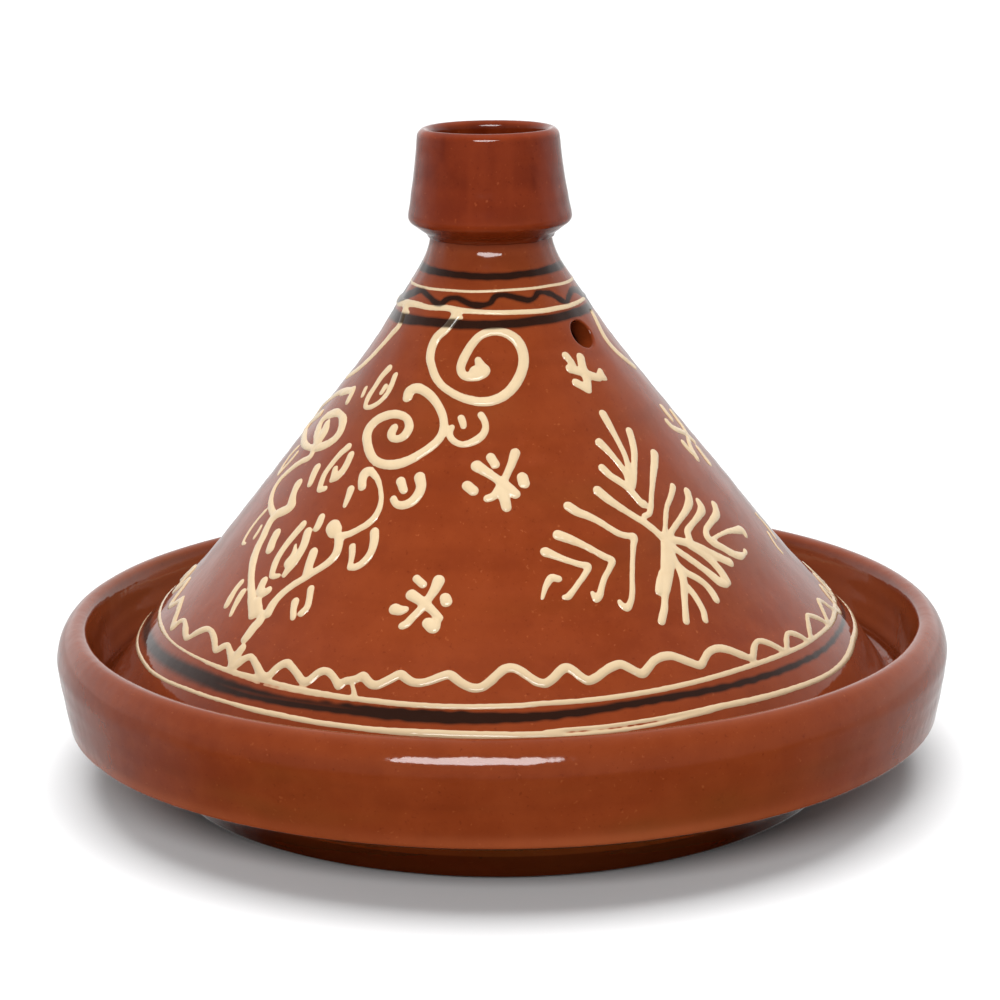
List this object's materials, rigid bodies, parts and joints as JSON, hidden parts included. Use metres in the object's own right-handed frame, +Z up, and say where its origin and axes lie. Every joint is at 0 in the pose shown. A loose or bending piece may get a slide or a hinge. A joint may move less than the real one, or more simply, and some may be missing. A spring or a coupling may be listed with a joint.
{
  "type": "tagine pot",
  "caption": "Round glazed terracotta cooking dish with a stepped rim, a tall conical lid that stands on an inner ledge, a hollow flared knob and a small steam vent.",
  "frame": {"origin": "centre of the flat base, on the surface the pot stands on", "axes": "+Z up along the axis of the wheel-thrown pieces, +X towards the steam vent near the top of the lid"},
  "size_m": [0.3, 0.3, 0.2176],
  "materials": {
    "glazed_terracotta": "glossy transparent lead-free glaze over red-brown earthenware",
    "bare_clay": "matt unglazed red earthenware with turning rings",
    "cream_slip": "raised trailed cream slip under glossy glaze",
    "black_slip": "brushed brown-black slip under glossy glaze"
  },
  "bodies": {
    "dish": {"dish": "glazed_terracotta"},
    "lid": {"lid": "glazed_terracotta", "lid_knob": "glazed_terracotta"}
  },
  "joints": [
    {"name": "lid_lift", "type": "slide", "parent": "dish", "child": "lid", "axis": [0, 0, 1], "range_m": [0, 0.15]}
  ]
}
